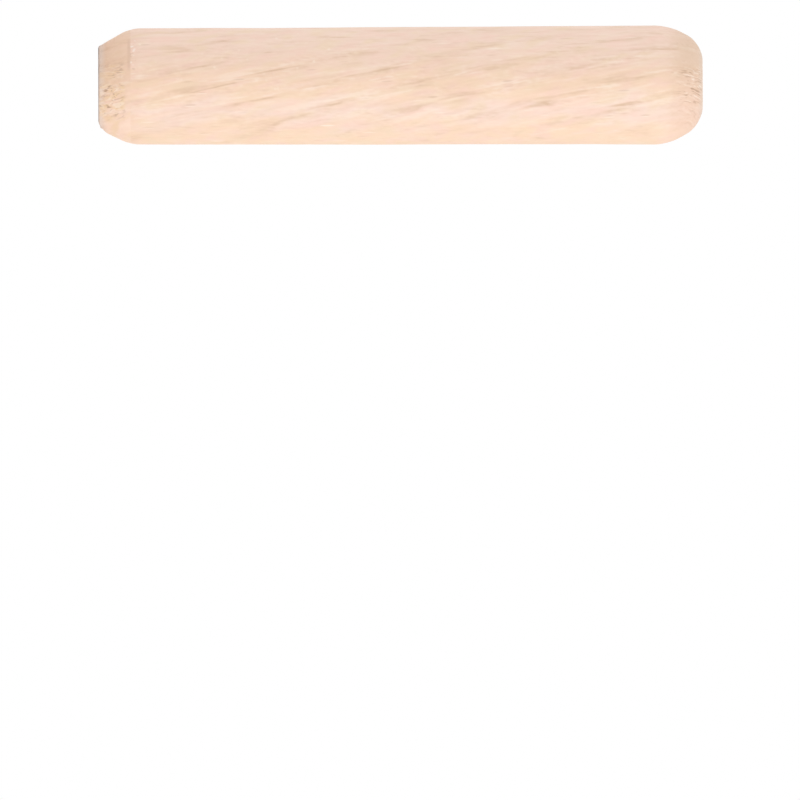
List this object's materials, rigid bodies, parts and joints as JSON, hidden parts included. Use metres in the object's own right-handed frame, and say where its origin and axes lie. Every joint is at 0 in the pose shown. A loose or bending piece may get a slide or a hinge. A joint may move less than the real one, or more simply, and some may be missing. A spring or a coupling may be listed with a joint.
{
  "type": "dowel pin",
  "caption": "Plain round wooden peg with chamfered ends. It joins and lines up two boards in facing drilled holes.",
  "frame": {"origin": "centre of the foot's flat end face, on the pin's axis, where the standing pin meets the surface", "axes": "+Z along the pin's axis, from the foot with the wide crisp-edged flat up to the head with the small rounded flat; X and Y are any two directions across the round pin"},
  "size_m": [0.0078, 0.0078, 0.04],
  "materials": {
    "beech": "matte"
  },
  "bodies": {
    "root": {"dowel_pin": "beech"}
  },
  "joints": []
}
